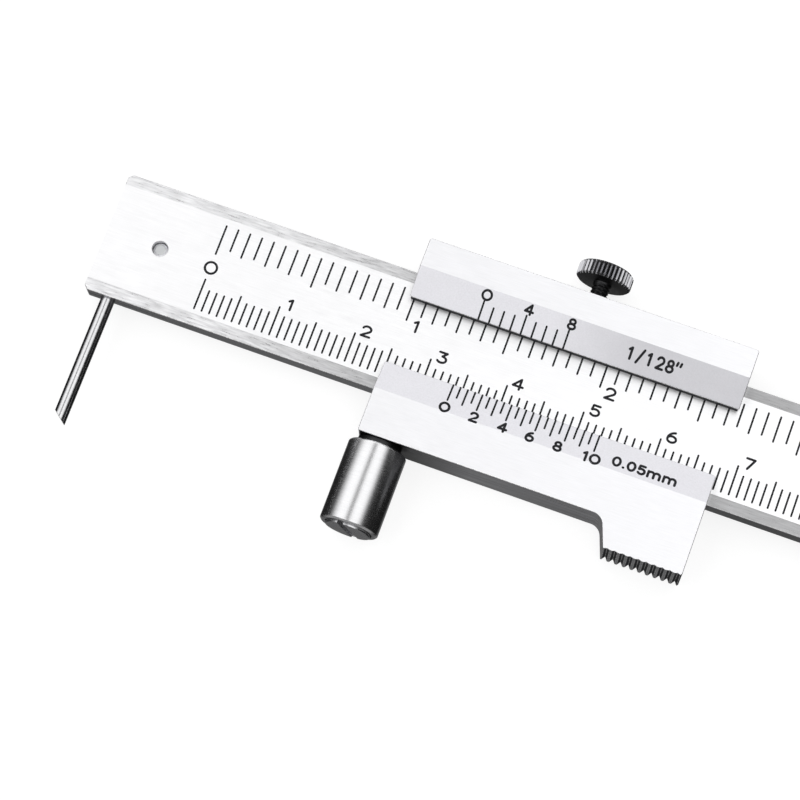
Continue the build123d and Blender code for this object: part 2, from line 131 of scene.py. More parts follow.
class GaugeColours(bpy.types.PropertyGroup):
    satin_chrome: FloatVectorProperty(
        name="Satin chrome", description="Flat faces of the slider",
        subtype="COLOR", size=3, min=0, max=1, default=(0.93, 0.93, 0.95))
    scale_chrome: FloatVectorProperty(
        name="Scale face", description="Satin chrome of the beam's scale face",
        subtype="COLOR", size=3, min=0, max=1, default=(0.98, 0.98, 0.99))
    bevel_grey: FloatVectorProperty(
        name="Vernier bevel", description="Blasted bevels that carry the verniers",
        subtype="COLOR", size=3, min=0, max=1, default=(0.8, 0.795, 0.83))
    strip_steel: FloatVectorProperty(
        name="Ground strips", description="Ground strips along the beam's scale face",
        subtype="COLOR", size=3, min=0, max=1, default=(0.72, 0.72, 0.73))
    ground_steel: FloatVectorProperty(
        name="Ground steel", description="Ground sides, knurl, tooth crests and screws",
        subtype="COLOR", size=3, min=0, max=1, default=(0.5, 0.5, 0.52))
    bright_steel: FloatVectorProperty(
        name="Bright steel", description="Worn edges",
        subtype="COLOR", size=3, min=0, max=1, default=(0.8, 0.8, 0.81))
    turned_steel: FloatVectorProperty(
        name="Turned steel", description="Roller, axle screw, top of the lock screw and the slider's sides",
        subtype="COLOR", size=3, min=0, max=1, default=(0.7, 0.7, 0.71))
    carbide: FloatVectorProperty(
        name="Carbide", description="Scriber needle",
        subtype="COLOR", size=3, min=0, max=1, default=(0.62, 0.62, 0.63))
    # Black painted as shade: the lock screw's shank, the underside of its head, its knurl valleys, and the
    # roller's spacer
    black_oxide: FloatVectorProperty(
        name="Black oxide", description="Lock screw's thread and knurl valleys, and the roller's spacer",
        subtype="COLOR", size=3, min=0, max=1, default=(0.05, 0.05, 0.052))
    brass: FloatVectorProperty(
        name="Brass", description="Gib strip",
        subtype="COLOR", size=3, min=0, max=1, default=(0.78, 0.55, 0.25))
    # Also used as painted shadow on the slider's upper lip edge and in its grip's grooves
    line_paint: FloatVectorProperty(
        name="Line paint", description="Black that fills the engraved lines",
        subtype="COLOR", size=3, min=0, max=1, default=(0.012, 0.012, 0.014))


class StageSettings(bpy.types.PropertyGroup):
    lens: FloatProperty(
        name="Lens", description="Focal length of the stage camera, in millimetres of its 36 mm sensor",
        default=131.17, min=20.0, max=300.0)
    key_strength: FloatProperty(
        name="Softbox strength", description="Brightness of the two overhead softboxes",
        default=1.84, min=0.0)
    floor_colour: FloatVectorProperty(
        name="Floor", description="Part of the pale floor's tone that takes shadows",
        subtype="COLOR", size=3, min=0, max=1, default=(0.26, 0.26, 0.26))


# ---------------------------------------------------------------- finishes

def node(tree, kind, inputs=None, **settings):
    """Adds a shader node, sets its settings, and links or sets its inputs."""
    made = tree.nodes.new(kind)
    for name, value in settings.items():
        setattr(made, name, value)
    for key, value in (inputs or {}).items():
        if isinstance(value, bpy.types.NodeSocket):
            tree.links.new(value, made.inputs[key])
        else:
            made.inputs[key].default_value = value
    return made


def multiply(tree, a, b):
    """The product of two values."""
    return node(tree, "ShaderNodeMath", {0: a, 1: b}, operation="MULTIPLY").outputs["Value"]


def plus(tree, a, b):
    """The sum of two values."""
    return node(tree, "ShaderNodeMath", {0: a, 1: b}, operation="ADD").outputs["Value"]


def grain(tree, scale, detail=4.0, roughness=0.6):
    """Noise in the piece's own coordinates, with one scale per axis in cells per metre."""
    place = node(tree, "ShaderNodeTexCoord")
    stretched = node(tree, "ShaderNodeMapping", {"Vector": place.outputs["Object"], "Scale": scale})
    return node(
        tree, "ShaderNodeTexNoise",
        {"Vector": stretched.outputs["Vector"], "Scale": 1.0, "Detail": detail, "Roughness": roughness},
    ).outputs["Fac"]


def spread(tree, value, low, high, start=0.3, end=0.7):
    """Maps the middle of a noise to a range of values."""
    return node(
        tree, "ShaderNodeMapRange",
        {"Value": value, "From Min": start, "From Max": end, "To Min": low, "To Max": high},
    ).outputs["Result"]


def times(tree, colour, by):
    """A colour multiplied by another; each is a value or comes from a node."""
    mixed = node(tree, "ShaderNodeMix", data_type="RGBA", blend_type="MULTIPLY")
    mixed.inputs["Factor"].default_value = 1.0
    for key, value in (("A", colour), ("B", by)):
        if isinstance(value, bpy.types.NodeSocket):
            tree.links.new(value, mixed.inputs[key])
        else:
            mixed.inputs[key].default_value = (*value, 1.0)
    return mixed.outputs["Result"]


def grey(tree, value):
    """A grey of the given brightness."""
    return node(tree, "ShaderNodeCombineColor", {"Red": value, "Green": value, "Blue": value}).outputs["Color"]


def shaded(tree, colour, noise, low, high):
    """A colour made darker and lighter by a noise."""
    return times(tree, colour, grey(tree, spread(tree, noise, low, high)))


def blank_finish(name):
    """A new material, its node tree and its surface shader."""
    material = bpy.data.materials.new(name)
    material.use_nodes = True
    return material, material.node_tree, material.node_tree.nodes["Principled BSDF"]


def metal_finish(name, colour, roughness, lay, depth, rub, tone, cloud, fade=None):
    """A machined metal. lay is the scale of the tool marks along each axis and depth how deep they are,
    rub is how much the gloss varies, tone how much the colour does, and cloud the scale of its patches.
    fade is (start x, end x, tone before, tone after), for a finish whose tone changes along the beam; on the
    ground strips, the beam's sides and the slider's lower side the fade is painted light and shade."""
    material, tree, surface = blank_finish(name)
    marks = grain(tree, lay)
    clouds = grain(tree, (cloud, cloud, cloud), detail=3.0)
    scuffs = grain(tree, (cloud * 9, cloud * 9, cloud * 9), detail=6.0, roughness=0.7)
    streaked = shaded(tree, colour, marks, 1.0 - tone, 1.0 + tone)
    coloured = times(tree, streaked, shaded(tree, (1, 1, 1), clouds, 1.0 - tone * 0.5, 1.0))
    if fade:
        start, end, before, after = fade
        place = node(tree, "ShaderNodeTexCoord")
        axes = node(tree, "ShaderNodeSeparateXYZ", {"Vector": place.outputs["Object"]})
        tone_here = spread(tree, axes.outputs["X"], before, after, at(start, 0, 0).x, at(end, 0, 0).x)
        coloured = times(tree, coloured, grey(tree, tone_here))
    tree.links.new(coloured, surface.inputs["Base Color"])
    marked = spread(tree, marks, roughness - rub, roughness + rub)
    scuffed = spread(tree, scuffs, -rub * 0.5, rub * 0.5)
    gloss = node(tree, "ShaderNodeMath", {0: marked, 1: scuffed}, operation="ADD", use_clamp=True)
    tree.links.new(gloss.outputs["Value"], surface.inputs["Roughness"])
    height = plus(tree, marks, spread(tree, scuffs, 0.0, 0.35))
    bump = node(tree, "ShaderNodeBump", {"Height": height, "Strength": 0.6, "Distance": depth})
    tree.links.new(bump.outputs["Normal"], surface.inputs["Normal"])
    surface.inputs["Metallic"].default_value = 1.0
    return material


def paint_finish(name, colour):
    """The baked black that fills the engraved lines, a little worn and uneven; the same black is also painted
    shadow on the slider's upper lip edge and in the grip's grooves.
    """
    material, tree, surface = blank_finish(name)
    specks = grain(tree, (9000, 9000, 9000), detail=5.0)
    tree.links.new(shaded(tree, colour, specks, 0.6, 2.2), surface.inputs["Base Color"])
    tree.links.new(spread(tree, specks, 0.55, 0.8), surface.inputs["Roughness"])
    bump = node(tree, "ShaderNodeBump", {"Height": specks, "Strength": 0.4, "Distance": 1e-5})
    tree.links.new(bump.outputs["Normal"], surface.inputs["Normal"])
    surface.inputs["Specular IOR Level"].default_value = 0.2
    return material


GROUND_LAY = (60, 9000, 9000)
SLIDER_LAY = (60, 2600, 2600)
STRIP_LAY = (500, 5000, 5000)
BLASTED_LAY = (5000, 5000, 5000)
FINE_LAY = (3000, 3000, 3000)
FACED_LAY = (4000, 4000, 4000)

# name: (colour property, what metal_finish is given)
METALS = {
    "satin_scale_face": ("scale_chrome", dict(
        roughness=0.42, lay=(300, 14000, 14000), depth=3e-6, rub=0.05, tone=0.03, cloud=120.0)),
    "satin_flats": ("satin_chrome", dict(
        roughness=0.42, lay=(400, 12000, 12000), depth=3e-6, rub=0.05, tone=0.03, cloud=140.0)),
    "upper_bevel": ("bevel_grey", dict(
        roughness=0.5, lay=BLASTED_LAY, depth=4e-6, rub=0.06, tone=0.05, cloud=260.0, fade=(56, 68, 1.0, 0.8))),
    "lower_bevel": ("bevel_grey", dict(
        roughness=0.5, lay=BLASTED_LAY, depth=4e-6, rub=0.06, tone=0.05, cloud=260.0)),
    # The strips' fades are painted light near the scriber end and painted shade further along the beam, towards
    # and past the slider
    "upper_strip": ("strip_steel", dict(
        roughness=0.36, lay=STRIP_LAY, depth=6e-6, rub=0.1, tone=0.14, cloud=500.0, fade=(20, 60, 1.21, 0.59))),
    "lower_strip": ("strip_steel", dict(
        roughness=0.36, lay=STRIP_LAY, depth=6e-6, rub=0.1, tone=0.14, cloud=500.0, fade=(18, 45, 1.25, 0.62))),
    "ground_side": ("ground_steel", dict(
        roughness=0.34, lay=GROUND_LAY, depth=6e-6, rub=0.1, tone=0.25, cloud=120.0)),
    # The beam's sides are painted darker towards the far end: painted shade
    "beam_side": ("ground_steel", dict(
        roughness=0.34, lay=GROUND_LAY, depth=6e-6, rub=0.1, tone=0.25, cloud=120.0, fade=(60, 86, 1.0, 0.5))),
    "slider_side": ("turned_steel", dict(
        roughness=0.34, lay=SLIDER_LAY, depth=1.2e-5, rub=0.1, tone=0.3, cloud=120.0)),
    # The slider's lower side is painted near-black next to the roller and grows lighter away from it: painted
    # shade
    "lower_side": ("ground_steel", dict(
        roughness=0.34, lay=SLIDER_LAY, depth=1.2e-5, rub=0.1, tone=0.3, cloud=120.0,
        fade=(44.5, 53.5, 0.12, 1.38))),
    "worn_edge": ("bright_steel", dict(
        roughness=0.28, lay=FACED_LAY, depth=3e-6, rub=0.12, tone=0.1, cloud=400.0)),
    "turned_steel": ("turned_steel", dict(
        roughness=0.26, lay=(500, 9000, 500), depth=5e-7, rub=0.02, tone=0.06, cloud=200.0)),
    "faced_steel": ("ground_steel", dict(
        roughness=0.3, lay=FACED_LAY, depth=3e-6, rub=0.08, tone=0.12, cloud=300.0)),
    "knurl_chrome": ("ground_steel", dict(
        roughness=0.25, lay=FINE_LAY, depth=2e-6, rub=0.06, tone=0.06, cloud=500.0)),
    "plain_steel": ("ground_steel", dict(
        roughness=0.34, lay=FINE_LAY, depth=4e-6, rub=0.1, tone=0.15, cloud=300.0)),
    # Painted shade: a black that stands in for shade, not a finish of the metal
    "black_oxide": ("black_oxide", dict(
        roughness=0.42, lay=BLASTED_LAY, depth=3e-6, rub=0.1, tone=0.2, cloud=400.0)),
    "carbide_ground": ("carbide", dict(
        roughness=0.2, lay=(700, 7000, 700), depth=2e-6, rub=0.06, tone=0.12, cloud=300.0)),
    "gib_brass": ("brass", dict(
        roughness=0.35, lay=(100, 8000, 8000), depth=4e-6, rub=0.1, tone=0.12, cloud=200.0)),
}


def finish(name):
    """The named finish, made when it is first asked for."""
    found = bpy.data.materials.get(name)
    if found:
        return found
    colours = bpy.context.scene.gauge_colours
    if name == "line_paint":
        return paint_finish(name, colours.line_paint)
    colour, settings = METALS[name]
    return metal_finish(name, getattr(colours, colour), **settings)


# ---------------------------------------------------------------- mesh tools

def hand_over(piece, body, node_name):
    """Puts a finished piece on its body, and hides the node it stands for."""
    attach(piece, body)
    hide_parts(node_name)


def new_piece(name, mesh, finishes):
    """An object in the scene from a mesh, with its finishes and smooth shading between sharp edges."""
    for each in finishes:
        mesh.materials.append(finish(each))
    mesh.shade_smooth()
    mesh.set_sharp_from_angle(angle=SMOOTH_ANGLE)
    piece = bpy.data.objects.new(name, mesh)
    bpy.context.scene.collection.objects.link(piece)
    return piece


def all_alike(normal, middle):
    """Picks the first finish for every face."""
    return 0


def mesh_of(shape, name):
    """The mesh that a bmesh holds; the bmesh is freed."""
    mesh = bpy.data.meshes.new(name)
    shape.to_mesh(mesh)
    shape.free()
    return mesh


def machined_piece(name, node_name, finishes, choose=all_alike, edge_finish="worn_edge", sharp=None):
    """The node's own shape with its flats cleaned up and its edges broken by a small round. choose() picks
    a face's finish from its normal and middle, and sharp() the edges that stay unbroken from their middle."""
    shape = bmesh.new()
    shape.from_mesh(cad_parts[node_name].data)
    bmesh.ops.remove_doubles(shape, verts=shape.verts, dist=MERGE_DISTANCE)
    bmesh.ops.dissolve_limit(shape, angle_limit=FLAT_ANGLE, verts=shape.verts, edges=shape.edges)
    shape.normal_update()
    for face in shape.faces:
        face.material_index = choose(face.normal, gauge_place(face.calc_center_median()))
    weight = shape.edges.layers.float.new("bevel_weight_edge")
    for side in shape.edges:
        middle = gauge_place((side.verts[0].co + side.verts[1].co) / 2)
        if side.calc_face_angle(0.0) > EDGE_ANGLE and not (sharp and sharp(middle)):
            side[weight] = 1.0
    piece = new_piece(name, mesh_of(shape, name), [*finishes, edge_finish])
    edge = piece.modifiers.new("Broken edges", "BEVEL")
    edge.width = bpy.context.scene.gauge_sizes.edge_break
    edge.segments = 2
    edge.limit_method = "WEIGHT"
    edge.use_clamp_overlap = False
    edge.material = len(finishes)
    flats = piece.modifiers.new("Level flats", "WEIGHTED_NORMAL")
    flats.weight = 100
    flats.keep_sharp = True
    return piece


def round_box(low, high):
    """Middle x, middle z and radius of a round piece whose axis runs across the beam."""
    return (low.x + high.x) / 2, (low.z + high.z) / 2, (high.x - low.x) / 2


def turned_mesh(name, profile, segments, centre_x, centre_z, hollow=False, ridges=0):
    """Turns a profile round an axis that runs across the beam. A profile point is
    (place along the axis, radius, ridge depth, finish of the band that follows)."""
    shape = bmesh.new()
    rings = []
    for along, radius, depth, _ in profile:
        ring = []
        for k in range(segments):
            turn = 2 * math.pi * k / segments
            swing = abs((ridges * k / segments) % 1.0 - 0.5) * 2 if ridges else 0.0
            r = radius - depth * (1 - swing) ** 0.8
            place = at(centre_x + r * math.sin(turn), along, centre_z + r * math.cos(turn))
            ring.append(shape.verts.new(place))
        rings.append(ring)
    following = rings[1:] + ([rings[0]] if hollow else [])
    for one, two, (*_, index) in zip(rings, following, profile):
        for k in range(segments):
            m = (k + 1) % segments
            shape.faces.new((one[k], one[m], two[m], two[k])).material_index = index
    if not hollow:
        shape.faces.new(rings[0]).material_index = profile[0][3]
        shape.faces.new(rings[-1]).material_index = profile[-1][3]
    bmesh.ops.recalc_face_normals(shape, faces=shape.faces)
    return mesh_of(shape, name)


# ---------------------------------------------------------------- engraved lines and numerals

def arc(x, y, rx, ry, start, end):
    """Points along part of an ellipse, angles in degrees."""
    steps = max(4, round(abs(end - start) / 12))
    angles = [math.radians(start + (end - start) * k / steps) for k in range(steps + 1)]
    return [(x + rx * math.cos(a), y + ry * math.sin(a)) for a in angles]


def six():
    """Strokes of a 6: a bowl and a curved back."""
    return [arc(0, -0.2, 0.31, 0.3, 0, 360), arc(0.24, -0.16, 0.55, 0.66, 183, 100)]


# Centre lines of the numerals' strokes, one unit high; o is the narrow nought of the reading values
STROKES = {
    "0": [arc(0, 0, 0.41, 0.5, 0, 360)],
    "1": [[(0.02, -0.5), (0.02, 0.5)], [(0.02, 0.5), (-0.2, 0.32)]],
    "2": [arc(0, 0.2, 0.3, 0.3, 165, -38) + [(-0.3, -0.5)], [(-0.3, -0.5), (0.33, -0.5)]],
    "3": [[(-0.28, 0.5), (0.28, 0.5)], [(0.28, 0.5), (-0.02, 0.12)], arc(-0.01, -0.19, 0.33, 0.31, 90, -145)],
    "4": [[(0.14, -0.5), (0.14, 0.5)], [(0.14, 0.5), (-0.36, -0.22)], [(-0.36, -0.22), (0.36, -0.22)]],
    "5": [[(0.27, 0.5), (-0.2, 0.5)], [(-0.2, 0.5), (-0.25, 0.06)], arc(0, -0.18, 0.32, 0.32, 135, -145)],
    "6": six(),
    "7": [[(-0.3, 0.5), (0.3, 0.5)], [(0.3, 0.5), (-0.08, -0.5)]],
    "8": [arc(0, 0.26, 0.24, 0.24, 0, 360), arc(0, -0.24, 0.31, 0.26, 0, 360)],
    "9": [[(-x, -y) for x, y in stroke] for stroke in six()],
    ".": [[(-0.01, -0.46), (0.01, -0.46)]],
    "/": [[(-0.26, -0.62), (0.26, 0.6)]],
    '"': [[(-0.14, 0.52), (-0.19, 0.26)], [(0.22, 0.52), (0.17, 0.26)]],
    "m": [
        [(-0.56, -0.5), (-0.56, 0.2)],
        arc(-0.28, -0.08, 0.28, 0.28, 180, 0) + [(0.0, -0.5)],
        arc(0.28, -0.08, 0.28, 0.28, 180, 0) + [(0.56, -0.5)],
    ],
    "o": [arc(0, 0, 0.33, 0.5, 0, 360)],
    " ": [],
}
ADVANCE = {"1": 0.62, ".": 0.4, "/": 0.72, '"': 0.5, "m": 1.48, "0": 1.05, "o": 0.96, " ": 0.13}
PLAIN_ADVANCE = 0.9


def scale_face(x, y, lift):
    """A point on the beam's scale face."""
    return at(x, y, lift)


def upper_lip(x, y, lift):
    """A point on the slider's upper bevel, or on the flat above it."""
    rise = min(1.0, max(0.0, (y - BEAM_WIDTH + LIP_EDGE_Y) / LIP_RUN))
    return at(x, y, LIP_EDGE_Z + LIP_RISE * rise + lift)


def lower_lip(x, y, lift):
    """A point on the slider's lower bevel, or on the flat below it."""
    rise = min(1.0, max(0.0, (LIP_EDGE_Y - y) / LIP_RUN))
    return at(x, y, LIP_EDGE_Z + LIP_RISE * rise + lift)


def cut_stroke(shape, points, width, surface, proud=PAINT_PROUD):
    """Adds one filled stroke with rounded ends, laid on a surface. On the slider's lips it has more
    points across, so that it bends with the crease."""
    strands = 1 if surface is scale_face else LIP_STRANDS
    path = [Vector(p) for p in points]
    closed = (path[0] - path[-1]).length < 1e-6
    if closed:
        path = path[:-1]
    half = width / 2
    sections = []
    for k, point in enumerate(path):
        before = path[k - 1] if (k > 0 or closed) else point
        after = path[(k + 1) % len(path)] if (k < len(path) - 1 or closed) else point
        sections.append((point, (after - before).normalized(), half))
    if not closed:
        first, first_heading, _ = sections[0]
        last, last_heading, _ = sections[-1]
        for turn in (math.radians(40), math.radians(75)):
            reach, rest = half * math.sin(turn), half * math.cos(turn)
            sections.insert(0, (first - first_heading * reach, first_heading, rest))
            sections.append((last + last_heading * reach, last_heading, rest))
    rings = []
    for point, heading, rest in sections:
        side = Vector((-heading.y, heading.x)) * rest
        left, right = point + side, point - side
        across = [left.lerp(right, k / strands) for k in range(strands + 1)]
        rings.append([
            *[shape.verts.new(surface(p.x, p.y, proud)) for p in across],
            shape.verts.new(surface(right.x, right.y, -PAINT_DEPTH)),
            shape.verts.new(surface(left.x, left.y, -PAINT_DEPTH)),
        ])
    following = rings[1:] + ([rings[0]] if closed else [])
    for one, two in zip(rings, following):
        for k in range(len(one)):
            m = (k + 1) % len(one)
            shape.faces.new((one[k], one[m], two[m], two[k]))
    if not closed:
        shape.faces.new(rings[0])
        shape.faces.new(rings[-1])


def straight(start, end):
    """A straight run cut into short steps, so that it can follow a crease."""
    a, b = Vector(start), Vector(end)
    count = max(1, round((b - a).length / STROKE_STEP))
    return [tuple(a.lerp(b, k / count)) for k in range(count + 1)]


def write_text(shape, text, x, y, height, stroke, surface, squeeze=1.0, tracking=0.0):
    """Adds numerals centred on a point; tracking is extra room between them."""
    advances = [ADVANCE.get(c, PLAIN_ADVANCE) * height * squeeze + tracking for c in text]
    pen = x - sum(advances) / 2
    for letter, advance in zip(text, advances):
        middle = pen + advance / 2
        for number, line in enumerate(STROKES[letter]):
            placed = [(middle + px * height * squeeze, y + py * height) for px, py in line]
            if len(placed) == 2:
                placed = straight(*placed)
            cut_stroke(shape, placed, stroke, surface, PAINT_PROUD + PAINT_LAYER * number)
        pen += advance


def engraving(name, draw, body):
    """A piece made of filled strokes that draw() adds, riding on a body."""
    shape = bmesh.new()
    draw(shape)
    bmesh.ops.recalc_face_normals(shape, faces=shape.faces)
    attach(new_piece(name, mesh_of(shape, name), ["line_paint"]), body)


# ---------------------------------------------------------------- the pieces

class GAUGE_OT_beam(bpy.types.Operator):
    """Build the beam with its satin scale face, ground strips and broken edges"""
    bl_idname = "marking_gauge.beam"
    bl_label = "Beam"

    peep_hole_x, peep_hole_y = 7.2, 8.0
    peep_hole_reach = 1.2
    slit_end_x = 11.5
    slit_z, slit_reach = -1.4, 0.4
    steps_low_y, steps_high_y = 1.0, 15.0

    def execute(self, context):
        piece = machined_piece(
            "beam_ground", "beam", ["satin_scale_face", "upper_strip", "lower_strip", "beam_side"],
            self.choose, sharp=self.stays_sharp)
        hand_over(piece, "beam_unit", "beam")
        return {"FINISHED"}

    def choose(self, normal, middle):
        """The scale face and the small hole are satin, the strips and their steps ground."""
        if normal.z > 0.9 and middle.z > -STRIP_STEP / 2 or self.in_peep_hole(middle):
            return 0
        if middle.z > -STRIP_STEP * 1.5:
            return 1 if middle.y > BEAM_WIDTH / 2 else 2
        return 3

    def in_peep_hole(self, middle):
        """Whether a place is in the small hole above the clamp screw."""
        across = math.hypot(middle.x - self.peep_hole_x, middle.y - self.peep_hole_y)
        return across < self.peep_hole_reach and middle.z > -self.peep_hole_reach

    def stays_sharp(self, middle):
        """The slit's edges and the steps beside the strips stay sharp."""
        slit = middle.x < self.slit_end_x and abs(middle.z - self.slit_z) < self.slit_reach
        inside = self.steps_low_y < middle.y < self.steps_high_y
        step = inside and abs(middle.z) < STRIP_STEP * 1.5 and not self.in_peep_hole(middle)
        return slit or step


class GAUGE_OT_beam_scales(bpy.types.Operator):
    """Engrave the beam's millimetre and inch scales with their numerals"""
    bl_idname = "marking_gauge.beam_scales"
    bl_label = "Beam scales"

    mm_line_y = 2.15
    mm_zero_line, mm_ten_line, mm_five_line, mm_line = 4.0, 3.8, 3.4, 2.75
    inch_line_y = 13.6
    half_inch_line, eighth_line, sixteenth_line = 3.9, 3.3, 2.95
    mm_numeral_y = 6.62
    mm_numeral_offset = 1.25
    second_digit_offset = 0.6
    inch_numeral_y = 9.28
    inch_numeral_offset = 1.5
    inch_numeral_growth = 1.05
    shared_zero = (14.1, 7.8)
    shared_zero_radius = 0.76
    numeral_squeeze = 1.35

    def mm_line_length(self, k):
        """Length of the line for k millimetres."""
        if k == 0:
            return self.mm_zero_line
        return self.mm_ten_line if k % 10 == 0 else self.mm_five_line if k % 5 == 0 else self.mm_line

    def inch_line_length(self, k):
        """Length of the line for k sixteenths of an inch."""
        return self.half_inch_line if k % 8 == 0 else self.eighth_line if k % 2 == 0 else self.sixteenth_line

    def execute(self, context):
        sizes = context.scene.gauge_sizes
        line = sizes.line_width / MM
        stroke = sizes.numeral_stroke / MM
        height = sizes.numeral_height / MM

        def mm_lines(shape):
            for k in range(sizes.scale_mm + 1):
                x, end = ZERO_LINE_X + k, self.mm_line_y + self.mm_line_length(k)
                cut_stroke(shape, [(x, self.mm_line_y), (x, end)], line, scale_face)

        def inch_lines(shape):
            for k in range(sizes.scale_sixteenths + 1):
                x, end = ZERO_LINE_X + k * INCH / 16, self.inch_line_y - self.inch_line_length(k)
                cut_stroke(shape, [(x, self.inch_line_y), (x, end)], line, scale_face)

        def numerals(shape):
            r = self.shared_zero_radius
            cut_stroke(shape, arc(*self.shared_zero, r, r, 0, 360), stroke, scale_face)
            for k in range(1, sizes.scale_mm // 10 + 1):
                text = str(k)
                x = ZERO_LINE_X + 10 * k + self.mm_numeral_offset + self.second_digit_offset * (len(text) - 1)
                write_text(shape, text, x, self.mm_numeral_y, height, stroke, scale_face, self.numeral_squeeze)
            for k in range(1, sizes.scale_sixteenths // 16 + 1):
                x = ZERO_LINE_X + INCH * k + self.inch_numeral_offset
                write_text(
                    shape, str(k), x, self.inch_numeral_y, height * self.inch_numeral_growth, stroke,
                    scale_face, self.numeral_squeeze)

        engraving("beam_mm_lines", mm_lines, "beam_unit")
        engraving("beam_inch_lines", inch_lines, "beam_unit")
        engraving("beam_numerals", numerals, "beam_unit")
        return {"FINISHED"}


class GAUGE_OT_slider(bpy.types.Operator):
    """Build the slider with satin flats, blasted bevels and ground sides"""
    bl_idname = "marking_gauge.slider"
    bl_label = "Slider"

    finishes = [
        "satin_flats", "upper_bevel", "lower_bevel", "slider_side", "faced_steel", "line_paint", "lower_side"]
    groove_depth = 0.6
    window_height = 0.3

    def execute(self, context):
        piece = machined_piece(
            "slider_machined", "slider_body", self.finishes, self.choose, sharp=self.under_lip)
        hand_over(piece, "slider_unit", "slider_body")
        return {"FINISHED"}

    def choose(self, normal, middle):
        """Satin flats, blasted bevels, ground sides, steel tooth crests, painted shadow in black in the grip's
        grooves and on the upper lip's edge, and a lower side painted darker next to the roller."""
        if abs(normal.z) > 0.98:
            return self.finishes.index("satin_flats")
        if normal.z > 0.8 and abs(normal.y) > 0.2:
            return self.finishes.index("upper_bevel" if middle.y > BEAM_WIDTH / 2 else "lower_bevel")
        in_teeth = middle.y < GRIP_FACE_Y + self.groove_depth
        faces_down = normal.y < -0.9
        lip_edge = faces_down and middle.z > 0 and middle.y > 0
        groove = normal.y < -0.2 and abs(normal.x) > 0.2 and in_teeth
        # Painted shadow: the upper lip's edge and the grip's grooves are painted black
        if lip_edge or groove:
            return self.finishes.index("line_paint")
        if faces_down and in_teeth:
            return self.finishes.index("faced_steel")
        # The lower side takes the finish with painted shade next to the roller
        return self.finishes.index("lower_side" if faces_down and middle.y < 0 else "slider_side")

    def under_lip(self, middle):
        """The edges of the window that the beam runs through stay sharp."""
        return 0 < middle.y < BEAM_WIDTH and 0 < middle.z < self.window_height


class GAUGE_OT_verniers(bpy.types.Operator):
    """Engrave the two verniers, their numerals and their reading values on the slider"""
    bl_idname = "marking_gauge.verniers"
    bl_label = "Verniers"

    mm_division = 0.95
    mm_divisions = 20
    mm_long = 2.3
    mm_short = 1.6
    mm_numeral_y = 0.22
    mm_numeral_shift = {4: -0.05, 6: -0.35, 8: -0.55}
    inch_divisions = 8
    inch_division = INCH * 7 / 16 / inch_divisions
    inch_long = 2.3
    inch_short = 1.85
    inch_numeral_y = 15.52
    inch_numeral_shift = 0.1
    edge_inset = 0.06
    numeral_squeeze = 1.22
    mm_bold = 1.1
    inch_bold = 1.05
    # text, middle x, middle y, height, squeeze and tracking
    mm_reading = ("o.o5mm", 73.47, 0.93, 1.1, 1.2, 0.05)
    inch_reading = ('1 / 1 28"', 70.06, 14.57, 1.35, 0.96, 0.1)

    def execute(self, context):
        sizes = context.scene.gauge_sizes
        line = sizes.line_width / MM
        stroke = sizes.numeral_stroke / MM
        height = sizes.vernier_numeral_height / MM
        upper_edge = BEAM_WIDTH - LIP_EDGE_Y
        squeeze = self.numeral_squeeze

        def write_reading(shape, reading, width, surface):
            text, x, y, letter_height, letter_squeeze, tracking = reading
            write_text(shape, text, x, y, letter_height, width, surface, letter_squeeze, tracking)

        def mm_vernier(shape):
            start = LIP_EDGE_Y - self.edge_inset
            for k in range(self.mm_divisions + 1):
                length = self.mm_short if k % 2 else self.mm_long
                x = VERNIER_ZERO_X + self.mm_division * k
                cut_stroke(shape, straight((x, start), (x, LIP_EDGE_Y - length)), line, lower_lip)
            for k in range(0, self.mm_divisions + 1, 4):
                value = k // 2
                x = VERNIER_ZERO_X + self.mm_division * k + self.mm_numeral_shift.get(value, 0.0)
                write_text(
                    shape, str(value), x, self.mm_numeral_y, height, stroke * self.mm_bold, lower_lip, squeeze)
            write_reading(shape, self.mm_reading, stroke * self.mm_bold, lower_lip)

        def inch_vernier(shape):
            start = upper_edge + self.edge_inset
            for k in range(self.inch_divisions + 1):
                length = self.inch_short if k % 4 else self.inch_long
                x = VERNIER_ZERO_X + self.inch_division * k
                cut_stroke(shape, straight((x, start), (x, upper_edge + length)), line, upper_lip)
            for k in range(0, self.inch_divisions + 1, 4):
                x = VERNIER_ZERO_X + self.inch_division * k + self.inch_numeral_shift
                write_text(shape, str(k), x, self.inch_numeral_y, height, stroke, upper_lip, squeeze)
            write_reading(shape, self.inch_reading, stroke * self.inch_bold, upper_lip)

        engraving("vernier_mm_marks", mm_vernier, "slider_unit")
        engraving("vernier_inch_marks", inch_vernier, "slider_unit")
        return {"FINISHED"}


class GAUGE_OT_rear_cover(bpy.types.Operator):
    """Build the slider's rear cover and its four countersunk screws"""
    bl_idname = "marking_gauge.rear_cover"
    bl_label = "Rear cover"

    def execute(self, context):
        cover = machined_piece(
            "rear_cover_plate", "rear_cover", ["satin_flats", "ground_side"],
            lambda normal, middle: 0 if abs(normal.z) > 0.9 else 1)
        hand_over(cover, "slider_unit", "rear_cover")
        screws = machined_piece("rear_cover_screw_set", "rear_cover_screws", ["plain_steel"])
        hand_over(screws, "slider_unit", "rear_cover_screws")
        return {"FINISHED"}


class GAUGE_OT_gib(bpy.types.Operator):
    """Build the brass gib strip and its two grub screws"""
    bl_idname = "marking_gauge.gib"
    bl_label = "Gib"

    def execute(self, context):
        strip = machined_piece("gib_strip_brass", "gib_strip", ["gib_brass"], edge_finish="gib_brass")
        hand_over(strip, "slider_unit", "gib_strip")
        screws = machined_piece("gib_grub_screws", "gib_screws", ["plain_steel"])
        hand_over(screws, "slider_unit", "gib_screws")
        return {"FINISHED"}


